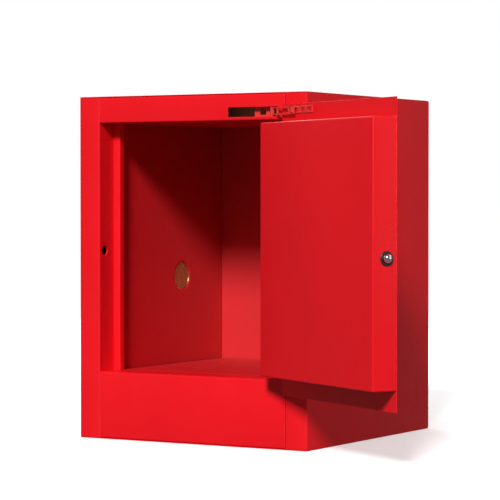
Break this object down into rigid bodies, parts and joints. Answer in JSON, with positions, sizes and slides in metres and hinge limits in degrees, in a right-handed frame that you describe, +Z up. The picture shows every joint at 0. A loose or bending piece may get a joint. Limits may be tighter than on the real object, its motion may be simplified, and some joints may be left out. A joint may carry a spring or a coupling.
{
  "type": "flammable storage cabinet",
  "caption": "Small double-walled red steel safety cabinet with one side-hinged, self-closing, latching door, shown open over its empty storage space and raised sill.",
  "frame": {"origin": "centre of the cabinet's footprint, on the plane it stands on", "axes": "+X to the cabinet's right as seen from the front, +Y to its back, +Z up"},
  "size_m": [0.6991, 0.6542, 0.565],
  "materials": {
    "red_powder_coat": "semi-gloss red powder coat with a faint orange peel",
    "interior_red_paint": "the same red powder coat on the inner walls, a little duller",
    "closer_paint": "lighter, thinly painted stamped steel",
    "zinc_plated_steel": "bright zinc plating, slightly dull",
    "polished_steel": "polished",
    "black_plastic": "fine moulded grain",
    "brass": "plain, slightly dull",
    "foot_rubber": "matt moulded rubber"
  },
  "bodies": {
    "cabinet": {"side_panel_left": "red_powder_coat", "side_panel_right": "red_powder_coat", "rear_panel": "red_powder_coat", "top_panel": "red_powder_coat", "base_panel": "red_powder_coat", "header_panel": "red_powder_coat", "sill_panel": "red_powder_coat", "liner_left": "interior_red_paint", "liner_right": "interior_red_paint", "liner_rear": "interior_red_paint", "liner_top": "interior_red_paint", "sump_pan": "interior_red_paint", "floor_shelf": "interior_red_paint", "shelf_ledge_left": "interior_red_paint", "shelf_ledge_right": "interior_red_paint", "door_stop_left": "red_powder_coat", "door_stop_right": "red_powder_coat", "hinge_leaf_frame": "zinc_plated_steel", "hinge_pin": "zinc_plated_steel", "strike_plate": "red_powder_coat", "vent_tube_left": "red_powder_coat", "vent_tube_right": "red_powder_coat", "flame_arrester_left": "brass", "flame_arrester_right": "brass", "vent_cap_left": "red_powder_coat", "vent_cap_right": "red_powder_coat", "grounding_screw": "brass", "foot_socket_front_left": "zinc_plated_steel", "foot_socket_rear_left": "zinc_plated_steel", "foot_socket_front_right": "zinc_plated_steel", "foot_socket_rear_right": "zinc_plated_steel", "closer_bracket": "closer_paint", "closer_pin": "zinc_plated_steel", "closer_spring": "zinc_plated_steel", "fusible_link": "brass"},
    "door": {"door_outer_skin": "red_powder_coat", "door_inner_pan": "red_powder_coat", "hinge_leaf_door": "zinc_plated_steel", "closer_guide": "closer_paint", "latch_case": "zinc_plated_steel", "latch_collar": "black_plastic", "latch_spring": "zinc_plated_steel", "handle_dish": "black_plastic", "handle_pin": "zinc_plated_steel"},
    "latch": {"latch_bolt": "polished_steel", "latch_rod": "zinc_plated_steel"},
    "handle": {"paddle_handle": "zinc_plated_steel"},
    "lock": {"lock_cylinder": "polished_steel", "lock_cam": "zinc_plated_steel"},
    "closer": {"closer_arm": "closer_paint"},
    "closer_wheel": {"closer_roller": "closer_paint"},
    "foot_front_left": {"leveling_foot_front_left": "foot_rubber"},
    "foot_rear_left": {"leveling_foot_rear_left": "foot_rubber"},
    "foot_front_right": {"leveling_foot_front_right": "foot_rubber"},
    "foot_rear_right": {"leveling_foot_rear_right": "foot_rubber"}
  },
  "joints": [
    {"name": "door_hinge", "type": "hinge", "parent": "cabinet", "child": "door", "pos_m": [0.1751, -0.219, 0.317], "axis": [0, 0, 1], "range_deg": [-148.2, 0]},
    {"name": "closer_swing", "type": "hinge", "parent": "cabinet", "child": "closer", "pos_m": [0.15, -0.21, 0.535], "axis": [0, 0, 1], "range_deg": [-145.5, 0]},
    {"name": "closer_wheel_spin", "type": "hinge", "parent": "closer", "child": "closer_wheel", "pos_m": [0.20982, -0.25029, 0.535], "axis": [0, 0, 1], "continuous": true},
    {"name": "handle_pull", "type": "hinge", "parent": "door", "child": "handle", "pos_m": [0.41984, -0.37839, 0.326], "axis": [0, 0, -1], "range_deg": [0, 32], "stiffness_Nm_per_rad": 0.15, "springref_deg": -17.19},
    {"name": "latch_slide", "type": "slide", "parent": "door", "child": "latch", "axis": [-0.8499, 0.527, 0], "range_m": [0, 0.0074]},
    {"name": "lock_turn", "type": "hinge", "parent": "door", "child": "lock", "pos_m": [0.38893, -0.37511, 0.284], "axis": [-0.527, -0.8499, 0], "range_deg": [0, 90]},
    {"name": "foot_front_left_screw", "type": "slide", "parent": "cabinet", "child": "foot_front_left", "axis": [0, 0, -1], "range_m": [0, 0.016]},
    {"name": "foot_rear_left_screw", "type": "slide", "parent": "cabinet", "child": "foot_rear_left", "axis": [0, 0, -1], "range_m": [0, 0.016]},
    {"name": "foot_front_right_screw", "type": "slide", "parent": "cabinet", "child": "foot_front_right", "axis": [0, 0, -1], "range_m": [0, 0.016]},
    {"name": "foot_rear_right_screw", "type": "slide", "parent": "cabinet", "child": "foot_rear_right", "axis": [0, 0, -1], "range_m": [0, 0.016]}
  ],
  "couplings": [
    {"joint": "closer_swing", "follows": "door_hinge", "ratio": 0.98165},
    {"joint": "latch_slide", "follows": "handle_pull", "m_per_rad": 0.013}
  ]
}
